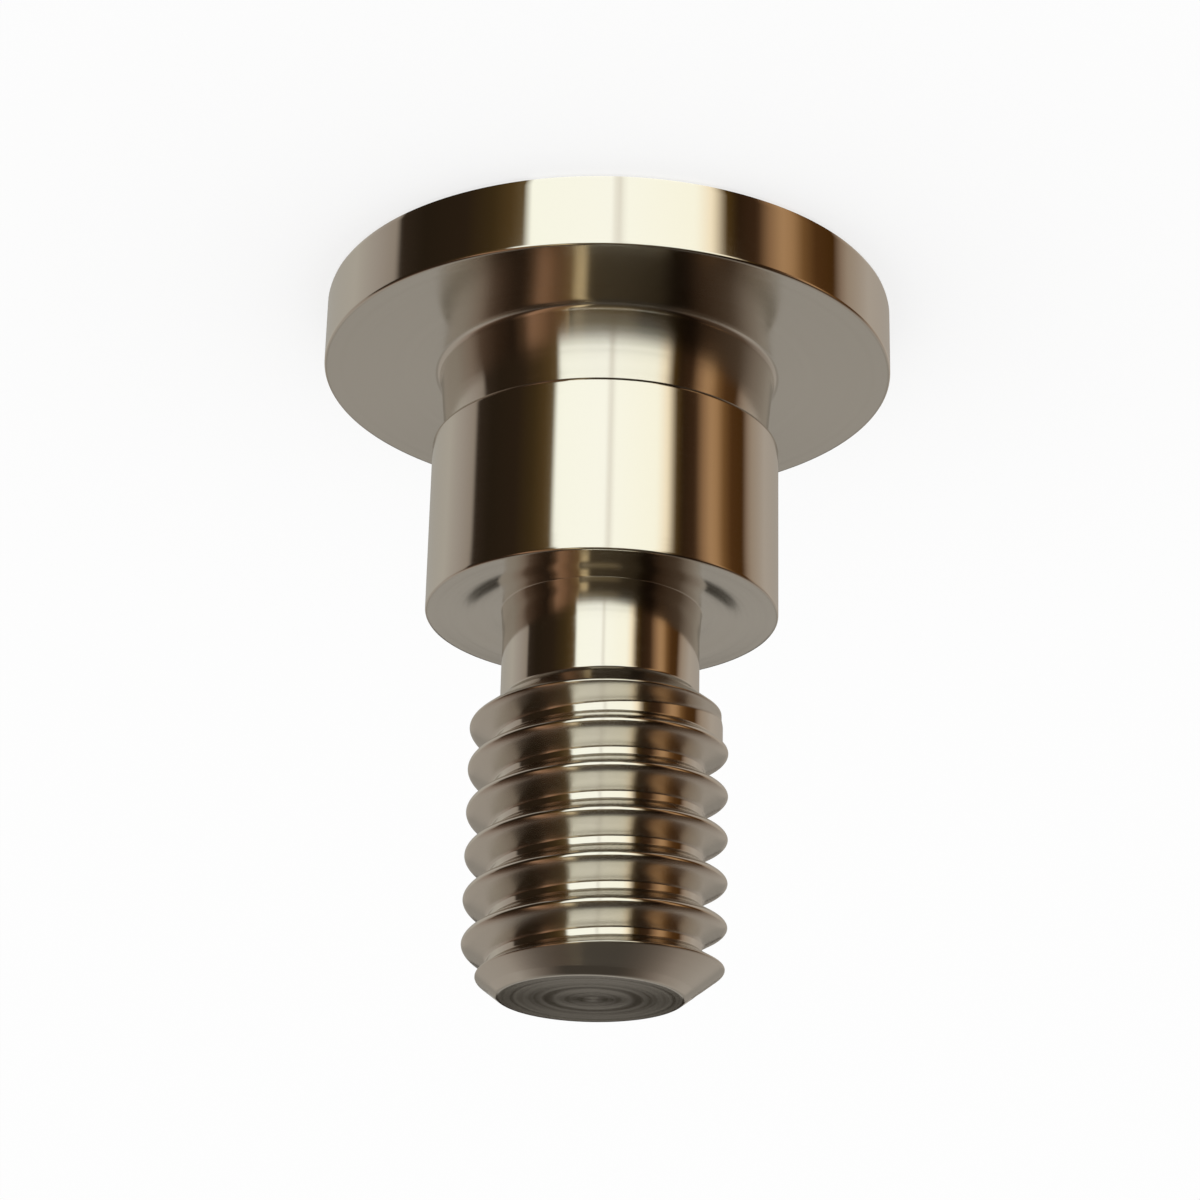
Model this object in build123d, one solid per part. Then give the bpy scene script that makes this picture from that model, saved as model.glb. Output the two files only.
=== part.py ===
from build123d import *
import os
from math import ceil, cos, radians, sin, tan

# Low-head shoulder bolt, turned and threaded from one bar of bright stainless steel.
# Millimetres. The bolt stands on its flat head: the origin is the centre of the head's outer
# face, and +Z runs along the axis from the head to the threaded end.

# --- driving dimensions: head --------------------------------------------------------------
head_diameter = 13.2
head_thickness = 1.75
head_outer_round = 0.18      # rolled edge round the outer face
head_under_chamfer = 0.05    # broken edge round the bearing face

# --- driving dimensions: hexagon socket in the head ----------------------------------------
socket_across_flats = 4.0
socket_depth = 2.4           # full hexagon, from the head's outer face
socket_mouth_chamfer = 0.15  # how far the countersink passes the hexagon's corners
socket_mouth_angle = 120
drill_run_past = 0.2         # pilot drill's full diameter beyond the hexagon
drill_point_angle = 118

# --- driving dimensions: shoulder ----------------------------------------------------------
shoulder_diameter = 8.0
shoulder_length = 5.97       # bearing face of the head to the rim, relief included
relief_depth = 0.29          # radial depth of the groove under the head, at its shoulder end
relief_taper = 3.7           # degrees; the groove's wall widens towards the head
relief_width = 1.85
relief_fillet = 0.2
shoulder_chamfer = 0.08      # at both ends of the ground cylinder
rim_width = 0.78             # flat seat at the shoulder's threaded end
recess_depth = 0.15          # faced back inside the rim, so that only the rim seats

# --- driving dimensions: neck and M6 x 1 thread --------------------------------------------
thread_diameter = 5.80       # over the crests, within the tolerance of M6
thread_pitch = 1.0
flank_angle = 30             # half of the 60 degree thread angle; the lead-in cone has it too
neck_below_root = 0.105      # radial, so that the tool runs out freely
neck_fillet = 0.5            # where the recess has room for it
neck_length = 2.2            # rim to the foot of the lead-in cone
full_thread_from = 3.25      # rim to the place where the groove reaches its full depth
run_out_turns = 0.7          # the groove climbs out of the bar over this part of a turn
screw_length = 8.85          # rim to the end face
end_chamfer_below_root = 0.35
end_chamfer_angle = 52       # from the axis
end_edge_round = 0.08

# --- sizes that follow ----------------------------------------------------------------------
head_radius = head_diameter / 2
shoulder_radius = shoulder_diameter / 2
relief_radius = shoulder_radius - relief_depth
relief_radius_at_head = relief_radius + relief_width * tan(radians(relief_taper))
recess_radius = shoulder_radius - rim_width
recess_floor_radius = recess_radius - recess_depth       # its wall slopes at 45 degrees

thread_radius = thread_diameter / 2
thread_depth = 0.565 * thread_pitch      # proportions of the metric thread form
crest_flat = 0.175 * thread_pitch
root_radius = thread_radius - thread_depth
neck_radius = root_radius - neck_below_root
neck_corner = min(neck_fillet, 0.8 * (recess_floor_radius - neck_radius))
end_face_radius = root_radius - end_chamfer_below_root

seat_z = head_thickness                  # bearing face under the head
relief_end_z = seat_z + relief_width
rim_z = seat_z + shoulder_length
end_z = rim_z + screw_length
thread_foot_z = rim_z + neck_length

cutter_clearance = 0.3       # how far cutting tools stand out of the metal they cut
cutter_overrun = 1.2         # turns of thread that are parted off past the end face
points_per_turn = 12         # along the groove's helix

FROM_BOTTOM = (Align.CENTER, Align.CENTER, Align.MIN)


def turned(corners):
    """A half section, given as radius, height and corner radius, turned about the axis."""
    outline = FilletPolyline(
        *[(radius, 0, height) for radius, height, _ in corners],
        radius=[corner_radius for _, _, corner_radius in corners],
        close=True,
    )
    return revolve(make_face(outline), Axis.Z)


def head_shoulder_and_neck():
    """Head, relief groove, shoulder, recessed rim and neck, up to the foot of the thread."""
    return turned([
        (0, 0, 0),
        (head_radius, 0, head_outer_round),
        (head_radius, seat_z - head_under_chamfer, 0),
        (head_radius - head_under_chamfer, seat_z, 0),
        (relief_radius_at_head, seat_z, relief_fillet),
        (relief_radius, relief_end_z, 0),
        (shoulder_radius - shoulder_chamfer, relief_end_z, 0),
        (shoulder_radius, relief_end_z + shoulder_chamfer, 0),
        (shoulder_radius, rim_z - shoulder_chamfer, 0),
        (shoulder_radius - shoulder_chamfer, rim_z, 0),
        (recess_radius, rim_z, 0),
        (recess_floor_radius, rim_z - recess_depth, 0),
        (neck_radius, rim_z - recess_depth, neck_corner),
        (neck_radius, thread_foot_z, 0),
        (0, thread_foot_z, 0),
    ])


def thread_ends():
    """What the lead-in cone and the end chamfer leave of the rod; it stands clear of the crests."""
    clear_radius = thread_radius + cutter_clearance
    return turned([
        (0, thread_foot_z, 0),
        (neck_radius, thread_foot_z, 0),
        (clear_radius, thread_foot_z + (clear_radius - neck_radius) * tan(radians(flank_angle)), 0),
        (clear_radius, end_z - (clear_radius - end_face_radius) / tan(radians(end_chamfer_angle)), 0),
        (end_face_radius, end_z, end_edge_round),
        (0, end_z, 0),
    ])


def groove_middle(turn):
    """Place on the groove's root after so many turns: a right-hand helix.

    Before turn 0 the groove climbs out of the bar, slowly at first.
    """
    rise = thread_radius + cutter_clearance - root_radius
    climb = max(-turn / run_out_turns, 0) ** 2 * rise
    angle = radians(360 * turn)
    radius = root_radius + climb
    height = rim_z + full_thread_from + turn * thread_pitch
    return Vector(radius * cos(angle), radius * sin(angle), height)


def thread_groove():
    """The V groove between the crests, with a flat root, swept along its helix."""
    depth = thread_depth + cutter_clearance
    half_mouth = (thread_pitch - crest_flat) / 2 + cutter_clearance * tan(radians(flank_angle))
    half_root = half_mouth - depth * tan(radians(flank_angle))
    turns = run_out_turns + (screw_length - full_thread_from) / thread_pitch + cutter_overrun
    steps = ceil(turns * points_per_turn)
    path = Spline(*[groove_middle(-run_out_turns + turns * step / steps) for step in range(steps + 1)])
    section = Polyline(
        (0, 0, -half_root),
        (0, 0, half_root),
        (depth, 0, half_mouth),
        (depth, 0, -half_mouth),
        close=True,
    )
    start = Pos(groove_middle(-run_out_turns)) * Rot(0, 0, -360 * run_out_turns)
    return sweep(make_face(start * section), path=path, is_frenet=True)


def threaded_end():
    """A rod threaded along its length, then turned to its lead-in cone and end chamfer."""
    spare = (cutter_overrun + 1) * thread_pitch
    rod_length = end_z + spare - rim_z
    rod = Pos(0, 0, rim_z) * Cylinder(thread_radius, rod_length, align=FROM_BOTTOM)
    return (rod - thread_groove()) & thread_ends()


def hexagon_socket():
    """Key socket: broached hexagon, pilot drill with its point, and a countersunk mouth."""
    corner_radius = socket_across_flats / 2 / cos(radians(30))
    drill_radius = socket_across_flats / 2
    drill_end = socket_depth + drill_run_past
    point_height = drill_radius / tan(radians(drill_point_angle / 2))
    mouth_radius = corner_radius + socket_mouth_chamfer
    mouth_height = mouth_radius / tan(radians(socket_mouth_angle / 2))

    hexagon = extrude(RegularPolygon(corner_radius, 6), socket_depth)
    drill = Cylinder(drill_radius, drill_end, align=FROM_BOTTOM)
    point = Pos(0, 0, drill_end) * Cone(drill_radius, 0, point_height, align=FROM_BOTTOM)
    mouth = Cone(mouth_radius, 0, mouth_height, align=FROM_BOTTOM)
    return hexagon + drill + point + mouth


def shoulder_bolt():
    """The whole bolt: one bar, threaded at one end and broached at the other."""
    return head_shoulder_and_neck() - hexagon_socket() + threaded_end()


os.makedirs("parts", exist_ok=True)
export_step(shoulder_bolt(), "parts/shoulder_bolt.step")
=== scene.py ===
import math

import bpy
import numpy as np
from bpy.props import FloatProperty, FloatVectorProperty, PointerProperty
from mathutils import Matrix, Vector


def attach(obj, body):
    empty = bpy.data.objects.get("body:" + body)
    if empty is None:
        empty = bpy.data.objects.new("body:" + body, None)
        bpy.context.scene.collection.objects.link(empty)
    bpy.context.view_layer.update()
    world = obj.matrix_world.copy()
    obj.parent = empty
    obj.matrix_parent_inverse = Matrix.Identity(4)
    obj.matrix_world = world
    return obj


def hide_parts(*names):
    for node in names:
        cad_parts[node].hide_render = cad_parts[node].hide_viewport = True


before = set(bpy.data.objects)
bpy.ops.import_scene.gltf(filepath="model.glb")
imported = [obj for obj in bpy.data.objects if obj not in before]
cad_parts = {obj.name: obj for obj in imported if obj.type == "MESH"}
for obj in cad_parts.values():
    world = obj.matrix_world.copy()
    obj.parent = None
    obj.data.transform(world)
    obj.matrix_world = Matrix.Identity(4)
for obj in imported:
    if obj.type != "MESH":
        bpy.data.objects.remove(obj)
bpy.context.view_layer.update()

bl_info = {
    "name": "Shoulder bolt",
    "version": (1, 0, 0),
    "blender": (4, 5, 0),
    "location": "3D View > Sidebar > Bolt",
    "description": "Turns, threads and finishes a low-head shoulder bolt and sets up its studio",
    "category": "Object",
}

MM = 0.001

# slopes of the cut surfaces, as the run along one direction for each step along the other
THREAD_FLANK = math.tan(math.radians(30))  # along the axis, for a step outwards
CHAMFER = math.tan(math.radians(52))  # outwards, for a step along the axis
COUNTERSINK = math.tan(math.radians(60))  # outwards, for a step along the axis
DRILL_POINT = math.tan(math.radians(59))  # outwards, for a step along the axis
LEAD_IN_TURN = math.radians(25)  # the side of the bolt where the lead-in cone starts highest

# how softly cut surfaces run into each other
LEAD_IN_BLEND = 0.09 * MM
CREST_BLEND = 0.08 * MM

# below the end face: where the thread's rows stop, and how deep the parted finish reaches
END_ROWS = 0.12 * MM
PARTED_DEPTH = 0.15 * MM

# how finely the bolt is divided: columns round the axis, rows along the thread and in each corner
COLUMNS = 192
THREAD_ROWS = 416
CORNER_ROWS = 4


def rgb_from_hex(text):
    """An sRGB hex colour turned to linear: the curved part above 0.04045, the straight part below."""
    srgb = np.array([int(text[k:k + 2], 16) for k in (0, 2, 4)]) / 255
    linear = np.where(srgb <= 0.04045, srgb / 12.92, ((srgb + 0.055) / 1.055) ** 2.4)
    return (*linear.tolist(), 1.0)


def length(name, description, millimetres):
    """A size in the panel, kept in metres and written in millimetres."""
    return FloatProperty(
        name=name, description=description, default=millimetres * MM,
        min=0.0, precision=5, subtype="DISTANCE", unit="LENGTH",
    )


def colour(name, description, paint):
    """A colour in the panel, kept linear and written as sRGB hex."""
    return FloatVectorProperty(
        name=name, description=description, default=rgb_from_hex(paint),
        size=4, min=0.0, max=1.0, subtype="COLOR",
    )


def amount(name, description, value, most=1.0):
    """A plain number in the panel, from nothing to the most it may be."""
    return FloatProperty(name=name, description=description, default=value, min=0.0, max=most)


class BoltSizes(bpy.types.PropertyGroup):
    """Sizes of the bolt, from the head to the end face"""
    head_diameter: length("Head diameter", "Over the head's rim", 13.196)
    head_thickness: length("Head thickness", "Outer face to bearing face", 1.75)
    head_round: length("Head edge round", "Round at the outer face's edge", 0.18)
    socket_across_flats: length("Key size", "Hexagon socket, across flats", 4.0)
    socket_depth: length("Key depth", "Full hexagon, from the outer face", 2.4)
    socket_mouth: length("Countersink", "How far it passes the hexagon's corners", 0.15)
    shoulder_diameter: length("Shoulder diameter", "Ground cylinder", 8.0)
    shoulder_length: length("Shoulder length", "Bearing face to rim", 5.97)
    relief_depth: length("Relief depth", "Groove under the head, at its shoulder end", 0.29)
    relief_depth_at_head: length("Relief depth at the head", "Same groove, at the head", 0.115)
    relief_width: length("Relief width", "Groove under the head, along the axis", 1.85)
    relief_fillet: length("Relief fillet", "Radius where the groove meets the head", 0.14)
    rim_round: length("Rim round", "Round at the shoulder's threaded end", 0.05)
    rim_width: length("Rim width", "Flat seat at the shoulder's threaded end", 0.75)
    recess_depth: length("Recess depth", "Faced back inside the rim", 0.08)
    recess_slope: length("Recess slope", "How far its edge slopes, radially", 0.5)
    neck_diameter: length("Neck diameter", "Between the rim and the thread", 4.46)
    neck_fillet: length("Neck fillet", "Radius where the neck meets the recess", 0.012)
    neck_taper: length("Neck taper", "How much wider its foot is, on the radius", 0.045)
    neck_taper_length: length("Neck taper length", "Rim to the end of the taper", 0.6)
    neck_length: length("Neck length", "Rim to the foot of the lead-in cone", 2.09)
    thread_diameter: length("Thread diameter", "Over the crests", 5.78)
    thread_depth: length("Thread depth", "Crest to root", 0.541)
    crest_width: length("Crest width", "Before its edges are rounded", 0.168)
    crest_round: length("Crest round", "How deep the rounding of the crests reaches", 0.156)
    root_round: length("Root round", "How deep the rounding of the roots reaches", 0.07)
    pitch: length("Pitch", "Crest to crest", 1.0)
    full_thread_from: length("Full thread from", "Rim to the first full groove", 3.225)
    run_out: length("Run out", "How far the groove climbs along the axis before it is full", 0.54)
    lead_in_shift: length("Lead-in shift", "How far the lead-in cone leans with the first turn", 0.11)
    screw_length: length("Screw length", "Rim to the end face", 8.85)
    end_face_diameter: length("End face diameter", "Inside the end chamfer", 4.06)
    end_shift: length("End shift", "How far the end chamfer sits off the axis", 0.055)


class BoltFinish(bpy.types.PropertyGroup):
    """Colour and finish of the bolt's steel"""
    steel: colour("Steel", "What bare stainless steel sends back of white light", "D4D0C8")
    turned_blur: amount("Turned blur", "Roughness of the finish-turned walls", 0.10)
    faced_blur: amount("Faced blur", "Roughness of the faces cut across", 0.15)
    thread_blur: amount("Thread blur", "Roughness of the thread's flanks", 0.22)
    relief_blur: amount("Relief blur", "Roughness of the groove under the head", 0.13)
    end_blur: amount("End blur", "Roughness of the parted end face", 0.12)
    mark_spacing: length("Mark spacing", "Between two lathe marks, as drawn", 0.1)


class BoltStudio(bpy.types.PropertyGroup):
    """Colours of the studio, glow of the painted reflections and place of the camera"""
    floor: colour("Floor", "Paint of the floor", "FAFAFA")
    backdrop: colour("Backdrop", "Colour of the room all round", "FFFFFF")
    # how strongly the reflection cards glow: they paint the steel's reflections, and no lamp lights
    # them
    reflection_glow: amount("Card light", "How brightly the painted cards are lit", 1.47, 10.0)
    camera_back: length("Camera distance", "From the bolt's axis, along the floor", 63.49)
    camera_height: length("Camera height", "Above the floor", 32.895)
    aim_height: length("Aim height", "Height on the bolt that the camera looks at", 7.283)
    aim_aside: length("Aim aside", "How far beside the axis it looks", 0.0444)
    lens: amount("Lens", "Focal length in millimetres, on a frame 36 mm wide", 90.44, 500.0)


def rounded_outline(corners, run_in=0.03 * MM):
    """An outline of straight runs with rounded corners, as arrays of radius and height.

    corners holds radius, height and corner radius. Each corner becomes an arc that touches both of
    its runs: its centre lies on the line that halves the corner, and its points turn evenly from
    one touching point to the other. One more point on each run, run_in away from the arc, keeps
    the run flat in smooth shading. The first and last corners stay as they are.
    """
    corners = np.asarray(corners, float)
    point, before, after = corners[1:-1, :2], corners[:-2, :2], corners[2:, :2]
    radius = corners[1:-1, 2:]
    back = before - point
    ahead = after - point
    back_length = np.linalg.norm(back, axis=1, keepdims=True)
    ahead_length = np.linalg.norm(ahead, axis=1, keepdims=True)
    back, ahead = back / back_length, ahead / ahead_length
    middle = (back + ahead) / np.linalg.norm(back + ahead, axis=1, keepdims=True)
    half = np.arccos(np.clip((back * middle).sum(1, keepdims=True), -1, 1))
    touch = radius / np.tan(half)
    centre = point + middle * radius / np.sin(half)
    start, end = (point + back * touch - centre) / radius, (point + ahead * touch - centre) / radius
    turn = math.pi - 2 * half
    share = np.linspace(0, 1, CORNER_ROWS + 1)[None, :, None]
    turn3 = turn[:, :, None]
    arc = (np.sin((1 - share) * turn3) * start[:, None] + np.sin(share * turn3) * end[:, None])
    arc = centre[:, None] + radius[:, :, None] * arc / np.sin(turn3)
    first = point + back * (touch + run_in)
    last = point + ahead * (touch + run_in)
    rows = np.concatenate([first[:, None], arc, last[:, None]], axis=1).reshape(-1, 2)
    return np.vstack([corners[:1, :2], rows, corners[-1:, :2]]).T


def smooth_min(a, b, blend):
    """The lower of two values, with a parabola of width blend where they cross."""
    share = np.clip(0.5 + 0.5 * (b - a) / blend, 0, 1)
    return b + (a - b) * share - blend * share * (1 - share)


def threaded_radius(angle, height, s):
    """Radius of the threaded end at an angle and a height above the rim.

    The groove's middle climbs one pitch a turn. Away from it the radius rises along a flank of 60
    degrees from the axis, from the flat root to the crest. Before the first full turn the root is
    raised by the fourth power of what is missing, while the flanks keep their place. The lead-in
    cone and the end chamfer, which both sit a little off the axis, cut the crests back.
    """
    crest = s.thread_diameter / 2
    half_root = (s.pitch - s.crest_width) / 2 - s.thread_depth * THREAD_FLANK
    turns = (height - s.full_thread_from) / s.pitch - angle / math.tau
    whole = np.round(turns)
    flank = (np.abs(turns - whole) * s.pitch - half_root) / THREAD_FLANK
    missing = np.clip(-(whole + angle / math.tau) * s.pitch / s.run_out, 0, 1.2) ** 4
    groove = crest - s.thread_depth - smooth_min(-flank, -missing * s.thread_depth, s.root_round)
    bar = smooth_min(groove, crest + 0 * groove, s.crest_round)
    foot = s.neck_length + s.lead_in_shift * np.cos(angle - LEAD_IN_TURN)
    lead_in = s.neck_diameter / 2 - smooth_min((foot - height) * CHAMFER, 0 * foot, LEAD_IN_BLEND)
    face = s.end_face_diameter / 2 + s.end_shift * np.cos(angle)
    chamfer = face + (s.screw_length - height) * CHAMFER
    return smooth_min(smooth_min(bar, lead_in, CREST_BLEND), chamfer, CREST_BLEND)


def hexagon_radius(angle, across_flats):
    """Distance from the axis to a hexagon's wall: half across flats over the cosine off a flat."""
    off_flat = np.mod(angle, math.pi / 3) - math.pi / 6
    return across_flats / 2 / np.cos(off_flat)


def bolt_surface(s):
    """The bolt's radius and height over rows along its outline and columns round its axis.

    The rows run from the drill point along the hexagon to the outer face, round the head, up the
    relief and the shoulder, over the recess, the neck and the thread, and in across the end face.
    Round the axis only the hexagon, the thread and the end chamfer change the radius.
    """
    angle = np.arange(COLUMNS) * math.tau / COLUMNS
    level = np.ones(COLUMNS)
    rim = s.head_thickness + s.shoulder_length
    end = rim + s.screw_length
    hair = 0.01 * MM  # rows this close to an edge keep it crisp in smooth shading
    by_axis = 0.02  # the last ring round the axis, as a share of its face's radius

    wall = hexagon_radius(angle, s.socket_across_flats)
    drill = s.socket_across_flats / 2 - 2 * hair
    mouth = s.socket_across_flats / 2 / math.cos(math.pi / 6) + s.socket_mouth
    flare = (mouth - wall) / COUNTERSINK
    drill_end = s.socket_depth + 0.2 * MM
    tip = drill_end + drill / DRILL_POINT
    point = tip - drill_end
    socket = [
        (by_axis * drill * level, tip - by_axis * point * level),
        (0.5 * drill * level, 0.5 * (tip + drill_end) * level),
        ((1 - by_axis) * drill * level, (drill_end + by_axis * point) * level),
        (drill * level, (drill_end - hair) * level),
        (drill * level, (s.socket_depth + 2 * hair) * level),
        (drill * level + hair, s.socket_depth * level),
        (wall - 0.5 * hair, s.socket_depth * level),
        (wall, (s.socket_depth - 2 * hair) * level),
        (wall, 0.5 * s.socket_depth * level),
        (wall, flare + 2 * hair),
        (wall + hair, flare - hair),
        (mouth * level - hair, 0.6 * hair * level),
        (mouth * level + hair, 0 * level),
    ]
    socket_radius = np.array([row[0] for row in socket])
    socket_height = np.array([row[1] for row in socket])

    head = s.head_diameter / 2
    shoulder = s.shoulder_diameter / 2
    relief = shoulder - s.relief_depth
    relief_at_head = shoulder - s.relief_depth_at_head
    relief_end = s.head_thickness + s.relief_width
    recess = shoulder - s.rim_width
    neck = s.neck_diameter / 2
    thread_start = s.neck_length - s.lead_in_shift - 5 * hair
    sharp, broken, dished, straightened = 0.03 * MM, 0.08 * MM, 2.0 * MM, 6.0 * MM
    radius, height = rounded_outline([
        (mouth + 5 * hair, 0, 0),
        (head, 0, s.head_round),
        (head, s.head_thickness, 5 * hair),
        (relief_at_head, s.head_thickness, s.relief_fillet),
        (relief, relief_end, sharp),
        (shoulder, relief_end, broken),
        (shoulder, rim, s.rim_round),
        (recess, rim, dished),
        (recess - s.recess_slope, rim - s.recess_depth, dished),
        (neck + s.neck_taper, rim - s.recess_depth, s.neck_fillet),
        (neck, rim + s.neck_taper_length, straightened),
        (neck, rim + thread_start - hair, 0),
    ])
    body_radius, body_height = radius[:, None] * level, height[:, None] * level

    thread_height = np.linspace(thread_start, s.screw_length - END_ROWS, THREAD_ROWS)[:, None]
    thread_radius = threaded_radius(angle, thread_height, s)
    thread_height = (rim + thread_height) * level

    face = s.end_face_diameter / 2
    chamfer_left, end_edge = 0.1 * MM, 0.12 * MM
    radius, height = rounded_outline([
        (face + chamfer_left * CHAMFER, end - chamfer_left, 0),
        (face, end, end_edge),
        (by_axis * face, end, 0),
    ])
    outwards = np.minimum(radius / face, 1)[:, None]
    end_radius = radius[:, None] + outwards * s.end_shift * np.cos(angle)
    end_height = height[:, None] * level

    radii = np.vstack([socket_radius, body_radius, thread_radius, end_radius])
    heights = np.vstack([socket_height, body_height, thread_height, end_height])
    return angle, radii, heights, tip, end


def closed_mesh(name, angle, radii, heights, first_tip, last_tip):
    """A closed skin over rows and columns, with a fan of triangles round each tip on the axis."""
    rows, columns = radii.shape
    ring = np.stack([radii * np.cos(angle), radii * np.sin(angle), heights], axis=-1)
    points = np.vstack([ring.reshape(-1, 3), [(0, 0, first_tip)], [(0, 0, last_tip)]])
    row, column = np.meshgrid(np.arange(rows - 1), np.arange(columns), indexing="ij")
    beside = (column + 1) % columns
    quads = np.stack([
        row * columns + column,
        row * columns + beside,
        (row + 1) * columns + beside,
        (row + 1) * columns + column,
    ], axis=-1).reshape(-1, 4)
    column = np.arange(columns)
    beside = (column + 1) % columns
    last = (rows - 1) * columns
    fans = np.vstack([
        np.stack([np.full(columns, rows * columns), beside, column], axis=-1),
        np.stack([np.full(columns, rows * columns + 1), last + column, last + beside], axis=-1),
    ])
    corners = np.concatenate([quads.ravel(), fans.ravel()])
    starts = np.concatenate([np.arange(len(quads)) * 4, len(quads) * 4 + np.arange(len(fans)) * 3])

    mesh = bpy.data.meshes.new(name)
    mesh.vertices.add(len(points))
    mesh.vertices.foreach_set("co", points.ravel())
    mesh.loops.add(len(corners))
    mesh.loops.foreach_set("vertex_index", corners.astype(np.int32))
    mesh.polygons.add(len(starts))
    mesh.polygons.foreach_set("loop_start", starts.astype(np.int32))
    mesh.update(calc_edges=True)
    mesh.polygons.foreach_set("use_smooth", np.ones(len(starts), bool))
    if mesh.validate():
        raise RuntimeError(f"{name}: the skin had faces that are not valid")
    piece = bpy.data.objects.new(name, mesh)
    bpy.context.collection.objects.link(piece)
    return piece


def add_node(material, kind, inputs=(), **settings):
    """A node of this kind with its settings; inputs are pairs of socket and value or output."""
    node = material.node_tree.nodes.new(kind)
    for name, value in settings.items():
        setattr(node, name, value)
    for socket, value in dict(inputs).items():
        if isinstance(value, bpy.types.NodeSocket):
            material.node_tree.links.new(value, node.inputs[socket])
        else:
            node.inputs[socket].default_value = value
    return node


def new_material(name):
    """An empty node material."""
    material = bpy.data.materials.new(name)
    material.use_nodes = True
    material.node_tree.nodes.clear()
    return material


def lathe_marks(material, spacing, depth):
    """Sockets for lathe marks: rings of uneven depth about the axis, on walls and faces alike.

    Real feed marks lie a few hundredths of a millimetre apart. They are drawn two or three times
    as coarse, because finer ones would average out to nothing.
    """
    place = add_node(material, "ShaderNodeTexCoord").outputs["Object"]
    across = add_node(material, "ShaderNodeVectorMath", {0: place, 1: (1, 1, 0)}, operation="MULTIPLY")
    radius = add_node(material, "ShaderNodeVectorMath", {0: across.outputs[0]}, operation="LENGTH")
    height = add_node(material, "ShaderNodeSeparateXYZ", {0: place})
    rings = add_node(material, "ShaderNodeCombineXYZ",
                     {0: radius.outputs["Value"], 1: height.outputs["Z"]})
    marks = add_node(material, "ShaderNodeTexNoise",
                     {"Vector": rings.outputs[0], "Scale": 1 / spacing, "Detail": 2.0},
                     noise_dimensions="2D")
    bump = add_node(material, "ShaderNodeBump",
                    {"Height": marks.outputs[0], "Strength": 1.0, "Distance": depth})
    return marks.outputs[0], bump.outputs[0]


def turned_steel(name, steel, blur, streak, spacing, depth, spread):
    """Stainless steel with lathe marks.

    What it mirrors is blurred by blur, and the more streak it has, the more of that runs across
    the marks: along the axis on walls, and outwards on faces. Marks of this spacing and depth
    ripple it, and the blur varies by spread from ring to ring.
    """
    material = new_material(name)
    marks, bump = lathe_marks(material, spacing, depth)
    rough = add_node(material, "ShaderNodeMapRange", {
        "Value": marks, "From Min": 0.3, "From Max": 0.7,
        "To Min": blur - spread, "To Max": blur + spread,
    })
    tangent = add_node(material, "ShaderNodeTangent", direction_type="RADIAL", axis="Z")
    bar = add_node(material, "ShaderNodeBsdfPrincipled", {
        "Base Color": steel, "Metallic": 1.0, "Roughness": rough.outputs[0],
        "Anisotropic": streak, "Anisotropic Rotation": 0.25,
        "Normal": bump, "Tangent": tangent.outputs[0],
    })
    add_node(material, "ShaderNodeOutputMaterial", {"Surface": bar.outputs[0]})
    return material


def bright_turned_stainless(look):
    """Stainless steel bar, finish turned: clear upright bands of the room, soft along the axis."""
    return turned_steel("bright_turned_stainless", look.steel, blur=look.turned_blur, streak=0.5,
                        spacing=look.mark_spacing, depth=0.0001 * MM, spread=0.01)


def satin_faced_stainless(look):
    """Stainless steel, faced across: a calm grey satin, with rings that show only at a glance."""
    return turned_steel("satin_faced_stainless", look.steel, blur=look.faced_blur, streak=0.85,
                        spacing=look.mark_spacing, depth=0.0003 * MM, spread=0.02)


def cut_thread_stainless(look):
    """Stainless steel thread flanks, cut with a single point: each fades from dark to light."""
    return turned_steel("cut_thread_stainless", look.steel, blur=look.thread_blur, streak=0.96,
                        spacing=look.mark_spacing, depth=0.00002 * MM, spread=0.01)


def relief_turned_stainless(look):
    """Stainless steel, turned with a coarse feed: bands that smear along the axis only."""
    return turned_steel("relief_turned_stainless", look.steel, blur=look.relief_blur, streak=0.96,
                        spacing=look.mark_spacing, depth=0.0001 * MM, spread=0.01)


def parted_end_stainless(look):
    """Stainless steel, parted off: a dull grey face with wide, faint rings."""
    return turned_steel("parted_end_stainless", look.steel, blur=look.end_blur, streak=0.6,
                        spacing=1.5 * look.mark_spacing, depth=0.0003 * MM, spread=0.03)


BACKDROP_SHARE = 0.7


def white_studio_floor(studio):
    """White painted board: a plain ground that keeps a soft shadow.

    The camera, the steel and any glass see seven tenths of it as clean backdrop and the rest as
    its own paint. Everything else sees the paint alone.
    """
    material = new_material("white_studio_floor")
    path = add_node(material, "ShaderNodeLightPath")
    seen = add_node(material, "ShaderNodeMath",
                    {0: path.outputs["Is Camera Ray"], 1: path.outputs["Is Glossy Ray"]},
                    operation="MAXIMUM")
    seen = add_node(material, "ShaderNodeMath",
                    {0: seen.outputs[0], 1: path.outputs["Is Transmission Ray"]},
                    operation="MAXIMUM")
    share = add_node(material, "ShaderNodeMath", {0: seen.outputs[0], 1: BACKDROP_SHARE},
                     operation="MULTIPLY")
    paint = add_node(material, "ShaderNodeBsdfDiffuse", {"Color": studio.floor})
    white = add_node(material, "ShaderNodeEmission", {"Color": studio.backdrop, "Strength": 1.0})
    mixed = add_node(material, "ShaderNodeMixShader",
                     {0: share.outputs[0], 1: paint.outputs[0], 2: white.outputs[0]})
    add_node(material, "ShaderNodeOutputMaterial", {"Surface": mixed.outputs[0]})
    return material
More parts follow.
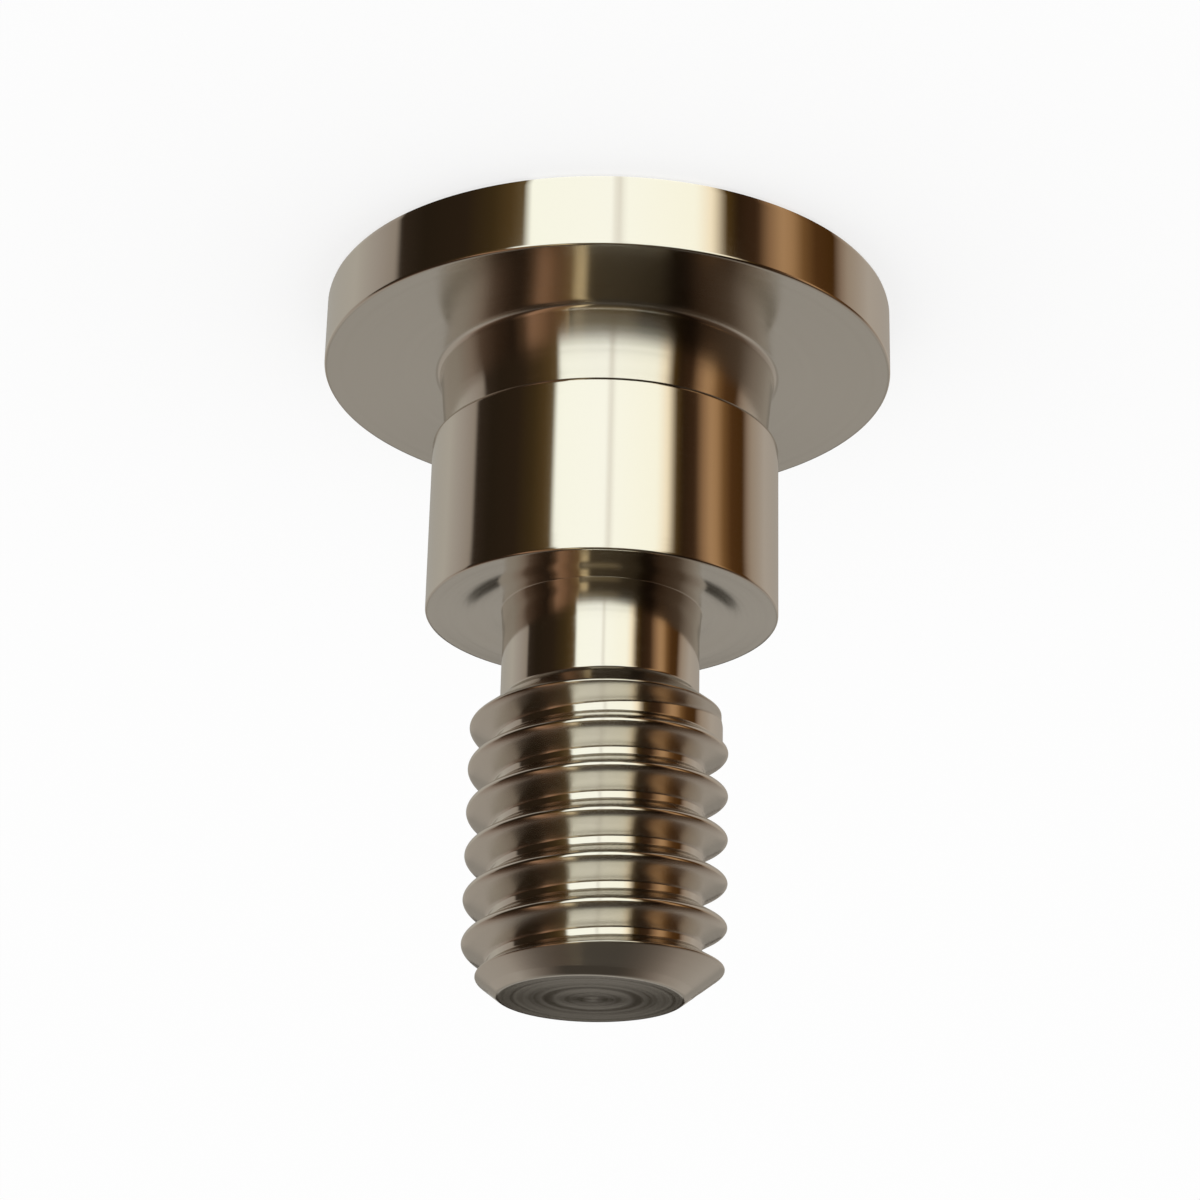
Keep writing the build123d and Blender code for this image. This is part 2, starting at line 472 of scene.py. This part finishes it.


# Painted reflections: glowing cards round the bolt, which only the steel's mirrored rays see, as
# pairs of angle and colour. The angle is the heading of a ray that the steel mirrors, in degrees:
# 0 towards the camera, and clockwise as seen from above. Colours between two pairs run evenly from
# one to the other. A card spans SPAN degrees at most.
SPAN = 450
WALL_REFLECTIONS = (
    (-225, "B1ADA7"), (-180, "8A8781"), (-125, "A39E95"), (-108, "968E86"), (-96, "8A8076"),
    (-93, "2E251D"), (-80, "231B12"), (-60, "281E14"), (-48, "382B17"), (-40, "4B3A20"),
    (-35, "5E4E35"), (-32, "FBFEF4"), (0, "FCFEF6"), (2.6, "E2E0D6"), (3.8, "E2E0D6"),
    (6, "FCFEF4"), (34, "FBFBEC"), (41, "F2E4C8"), (47, "4A3719"), (52, "2A1C0F"),
    (61, "372517"), (67, "856649"), (73, "A3805C"), (78, "9A7753"), (84, "6C4D2D"),
    (91, "492F17"), (102, "3F270E"), (107, "7F6C5C"), (112, "938475"), (130, "A1988E"),
    (180, "857F77"), (225, "B1ADA7"),
)
# painted reflections on the glowing hood: dark, copper and grey bands that the steel mirrors from
# above and around
HOOD_REFLECTIONS = (
    (-180, "908C86"), (-171, "908C86"), (-167, "817C75"), (-158, "817C75"), (-154, "968F87"),
    (-125, "968F87"), (-106, "87796F"), (-95, "564539"),
    (-80, "37281D"), (-66, "261B13"), (-58, "564130"), (-52, "94725A"), (-46, "89684F"),
    (-38, "6A4F39"), (-28, "755C3D"), (-24, "D0BD96"), (-19, "D4C19A"), (-15, "473D2E"),
    (0, "433B2E"), (36, "342C20"), (48, "170F07"), (58, "130B06"), (72, "392A1E"),
    (100, "514337"), (120, "80756C"), (145, "968F87"), (154, "968F87"), (158, "817C75"),
    (167, "817C75"), (171, "908C86"), (180, "908C86"),
)
# painted reflections on glowing boards behind and before the bolt, seen only in the steel
BACK_REFLECTION = ((-180, "29251F"), (180, "29251F"))
FRONT_REFLECTION = (
    (-26, "433B2E"), (-21, "857A66"), (-12, "7C7059"), (0, "74684F"), (14, "6C604A"), (22, "433B2E"),
)

# how far from the bolt the hood and the boards before it stand, in metres: glowing sheets that paint
# the steel's reflections
HOOD_DISTANCE = 0.4
BOARD_DISTANCE = 0.39
# the painted reflection colours they turn into higher up, and between which heights, in degrees
HOOD_TOP_REFLECTION = "3C3731"
HOOD_FADE = (46, 76)
FRONT_TOP_REFLECTION = "433B2E"
FRONT_BOARD_FADE = (12, 26)

# the wall that the floor card serves: its radius at some distances along the card, in millimetres
WALL_REACH = (3.4, 6.5, 17, 22)
WALL_RADIUS = (6.6, 4.0, 4.0, 2.7)
# headings within these are drawn closer together past the shoulder's reach, in degrees
WIDE = (0, 44, 67, 225)
NARROWED = (0, 38, 67, 225)
SHOULDER_REACH = 18.6 * MM
NARROWING = 1.5 * MM
CAMERA_REACH = 63.5 * MM


def painted_reflection_cards(name, light, cards, top=None, fade=(0, 90)):
    """Glowing card that paints reflections: plain upright bands for the steel to mirror.

    Between the two heights of fade, in degrees, the bands turn into the colour top.
    """
    material = new_material(name)
    across = add_node(material, "ShaderNodeSeparateXYZ",
                      {0: add_node(material, "ShaderNodeUVMap").outputs[0]})
    bands = add_node(material, "ShaderNodeValToRGB", {0: across.outputs["X"]})
    ramp = bands.color_ramp
    ramp.elements.remove(ramp.elements[0])
    ramp.elements[0].position = cards[0][0] / SPAN + 0.5
    for angle, _ in cards[1:]:
        ramp.elements.new(angle / SPAN + 0.5)
    for element, (_, paint) in zip(ramp.elements, cards):
        element.color = rgb_from_hex(paint)
    colour = bands.outputs[0]
    if top:
        height = add_node(material, "ShaderNodeMapRange", {
            "Value": across.outputs["Y"], "From Min": fade[0] / 90, "From Max": fade[1] / 90,
        })
        colour = add_node(material, "ShaderNodeMix",
                          {0: height.outputs[0], 6: colour, 7: rgb_from_hex(top)},
                          data_type="RGBA").outputs[2]
    # the bands glow as emission: a painted reflection, no lamp
    glow = add_node(material, "ShaderNodeEmission", {"Color": colour, "Strength": light})
    add_node(material, "ShaderNodeOutputMaterial", {"Surface": glow.outputs[0]})
    return material


def card_sheet():
    """Glowing card laid on the floor round the bolt, which paints the reflections in the bolt's walls.

    Each line of the sheet is the path that rays take after one upright line of the bolt's wall
    has mirrored them: from the wall, at half the line's heading, straight out at the heading. A
    little is taken off the half because the camera stands near. The wall is the head's rim for
    the nearest rays, then the shoulder, then the thread. Past half a turn the lines stay behind
    the bolt and close the ring.
    """
    turn = np.linspace(-SPAN / 2, SPAN / 2, 181)[:, None]
    reach = np.concatenate([np.linspace(-0.15, 4, 12), np.linspace(5, 60, 60), [90, 150, 400]]) * MM
    wall = np.interp(reach, np.array(WALL_REACH) * MM, np.array(WALL_RADIUS) * MM)
    heading = np.radians(np.clip(turn, -180, 180))
    place = heading / 2
    place = place - 0.5 * wall / CAMERA_REACH * np.sin(place)
    beyond = np.clip(np.abs(turn) - 180, 0, None) / (SPAN / 2 - 180)
    place = place + np.sign(turn) * np.radians(90) * beyond
    narrow = np.clip((reach - SHOULDER_REACH) / NARROWING, 0, 1)
    inner = np.sign(turn) * np.interp(np.abs(turn), WIDE, NARROWED)
    heading = heading + narrow * np.radians(np.clip(inner, -180, 180) - np.clip(turn, -180, 180))
    x = -(wall * np.sin(place) + reach * np.sin(heading))
    y = -(wall * np.cos(place) + reach * np.cos(heading))
    z = np.full_like(x, 0.02 * MM)
    u = turn / SPAN + 0.5 + 0 * x
    v = 0 * x
    return x, y, z, u, v


def card_dome(distance, turns, rises):
    """Part of a dome of card, between two angles round the bolt and two heights in degrees.

    Every point lies at the same distance from the foot of the bolt's axis: out by the cosine of
    its height and up by the sine.
    """
    turn = np.linspace(*turns, 145)[:, None]
    rise = np.linspace(*rises, 40)
    across = distance * np.cos(np.radians(rise))
    x = -across * np.sin(np.radians(turn))
    y = -across * np.cos(np.radians(turn))
    z = distance * np.sin(np.radians(rise)) + 0 * x
    return x, y, z, turn / SPAN + 0.5 + 0 * x, rise / 90 + 0 * x


def card(name, surface, material):
    """A sheet over a grid of points, which only mirrored rays see."""
    x, y, z, u, v = surface
    lines, points = x.shape
    line, point = np.meshgrid(np.arange(lines - 1), np.arange(points - 1), indexing="ij")
    first = line * points + point
    quads = np.stack([first, first + points, first + points + 1, first + 1], axis=-1).reshape(-1, 4)
    mesh = bpy.data.meshes.new(name)
    mesh.from_pydata(np.stack([x, y, z], axis=-1).reshape(-1, 3), [], quads)
    layer = mesh.uv_layers.new(name="UVMap")
    corner = np.stack([u, v], axis=-1).reshape(-1, 2)[quads.ravel()]
    layer.data.foreach_set("uv", corner.ravel())
    mesh.materials.append(material)
    sheet = bpy.data.objects.new(name, mesh)
    bpy.context.collection.objects.link(sheet)
    sheet.visible_camera = sheet.visible_diffuse = sheet.visible_shadow = False
    sheet.visible_transmission = sheet.visible_volume_scatter = False
    return sheet


# the finishes, in the order of the bolt's material slots
FINISHES = (
    bright_turned_stainless, satin_faced_stainless, cut_thread_stainless,
    relief_turned_stainless, parted_end_stainless,
)
BRIGHT, FACED, CUT, RELIEF, PARTED = range(len(FINISHES))

# how far a face looks up or down, as the upright part of its normal: more is a face cut across
# the axis, and on the thread a flank that looks to the end
FACED_TILT = 0.5
FLANK_TILT = 0.35


def finish_of_faces(mesh, sizes):
    """The finish of each face of the bolt, from its height, its tilt and its distance to the axis."""
    count = len(mesh.polygons)
    normal, centre = np.empty(count * 3), np.empty(count * 3)
    mesh.polygons.foreach_get("normal", normal)
    mesh.polygons.foreach_get("center", centre)
    up, height = normal[2::3], centre[2::3]
    off_axis = np.hypot(centre[0::3], centre[1::3])
    rim = sizes.head_thickness + sizes.shoulder_length
    thread = height > rim + 0.9 * sizes.neck_length
    faced = (np.abs(up) > FACED_TILT) & ~thread
    above_head = height - sizes.head_thickness
    relief = (above_head > 0) & (above_head < sizes.relief_width) & ~faced
    relief &= off_axis < sizes.shoulder_diameter / 2
    parted = height > rim + sizes.screw_length - PARTED_DEPTH
    flank = thread & (up > FLANK_TILT)
    return np.select([parted, flank, faced, relief], [PARTED, CUT, FACED, RELIEF], BRIGHT)


class TurnBolt(bpy.types.Operator):
    """Turn, thread and finish the bolt in one piece"""
    bl_idname = "bolt.turn_bolt"
    bl_label = "Turn the bolt"

    def execute(self, context):
        sizes = context.scene.bolt_sizes
        piece = closed_mesh("turned_bolt", *bolt_surface(sizes))
        for finish in FINISHES:
            piece.data.materials.append(finish(context.scene.bolt_finish))
        piece.data.polygons.foreach_set("material_index", finish_of_faces(piece.data, sizes))
        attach(piece, "root")
        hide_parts("shoulder_bolt")
        return {"FINISHED"}


# the floor's side and how far it lies below the bolt's foot, in metres
FLOOR_SIZE = 4.0
FLOOR_DROP = 0.01 * MM
# the bolt hangs head up in the frame, so the camera is rolled by about half a turn
CAMERA_ROLL = math.radians(-178.657)
FRAME_WIDTH = 36
NEAREST_SEEN = 1 * MM


class SetStudio(bpy.types.Operator):
    """Lay the floor, set the glowing cards that paint the steel's reflections, light it and place the
    camera
    """
    bl_idname = "bolt.set_studio"
    bl_label = "Set the studio"

    def execute(self, context):
        studio = context.scene.bolt_studio
        bpy.ops.mesh.primitive_plane_add(size=FLOOR_SIZE, location=(0, 0, -FLOOR_DROP))
        floor = context.object
        floor.name = "floor"
        floor.data.materials.append(white_studio_floor(studio))
        # glowing cards that only the steel's mirrored rays see: painted reflections of a banded room
        light = studio.reflection_glow
        card("floor_reflection_cards", card_sheet(), painted_reflection_cards("floor_reflection_cards", light, WALL_REFLECTIONS))
        card("hood_reflection_cards", card_dome(HOOD_DISTANCE, turns=(-180, 180), rises=(0, 90)),
             painted_reflection_cards("hood_reflection_cards", light, HOOD_REFLECTIONS, HOOD_TOP_REFLECTION, HOOD_FADE))
        card("back_reflection_board", card_dome(BOARD_DISTANCE, turns=(168, 192), rises=(0, 18.2)),
             painted_reflection_cards("back_reflection_board", light, BACK_REFLECTION))
        card("front_reflection_board", card_dome(BOARD_DISTANCE, turns=(-26, 22), rises=(0, 26)),
             painted_reflection_cards("front_reflection_board", light, FRONT_REFLECTION, FRONT_TOP_REFLECTION, FRONT_BOARD_FADE))

        world = bpy.data.worlds.new("studio")
        context.scene.world = world
        world.use_nodes = True
        world.node_tree.nodes["Background"].inputs["Color"].default_value = studio.backdrop
        world.node_tree.nodes["Background"].inputs["Strength"].default_value = 1.0

        camera = bpy.data.objects.new("camera", bpy.data.cameras.new("camera"))
        context.collection.objects.link(camera)
        place = Vector((0, -studio.camera_back, studio.camera_height))
        aim = Vector((studio.aim_aside, 0, studio.aim_height))
        look = (aim - place).to_track_quat("-Z", "Y").to_matrix().to_4x4()
        roll = Matrix.Rotation(CAMERA_ROLL, 4, "Z")
        camera.matrix_world = Matrix.Translation(place) @ look @ roll
        camera.data.lens = studio.lens
        camera.data.sensor_width = FRAME_WIDTH
        camera.data.clip_start = NEAREST_SEEN
        context.scene.camera = camera
        context.scene.view_settings.view_transform = "Standard"
        return {"FINISHED"}


class BoltPanel(bpy.types.Panel):
    """The bolt's sizes and the steps that make it"""
    bl_idname = "VIEW3D_PT_bolt"
    bl_label = "Shoulder bolt"
    bl_space_type = "VIEW_3D"
    bl_region_type = "UI"
    bl_category = "Bolt"

    def draw(self, context):
        scene = context.scene
        for group in (scene.bolt_sizes, scene.bolt_finish, scene.bolt_studio):
            box = self.layout.box()
            for name in group.bl_rna.properties.keys():
                if name not in ("rna_type", "name"):
                    box.prop(group, name)
        for step in STEPS:
            self.layout.operator(step.bl_idname)


STEPS = (TurnBolt, SetStudio)
CLASSES = (BoltSizes, BoltFinish, BoltStudio, *STEPS, BoltPanel)


def register():
    """Make the panel, its steps and the sizes known to Blender."""
    for known in CLASSES:
        bpy.utils.register_class(known)
    bpy.types.Scene.bolt_sizes = PointerProperty(type=BoltSizes)
    bpy.types.Scene.bolt_finish = PointerProperty(type=BoltFinish)
    bpy.types.Scene.bolt_studio = PointerProperty(type=BoltStudio)


def unregister():
    """Take them away again, in the opposite order."""
    del bpy.types.Scene.bolt_studio, bpy.types.Scene.bolt_finish, bpy.types.Scene.bolt_sizes
    for known in reversed(CLASSES):
        bpy.utils.unregister_class(known)


def main():
    """Make the bolt and its studio."""
    register()
    bpy.ops.bolt.turn_bolt()
    bpy.ops.bolt.set_studio()


if __name__ == "__main__":
    main()
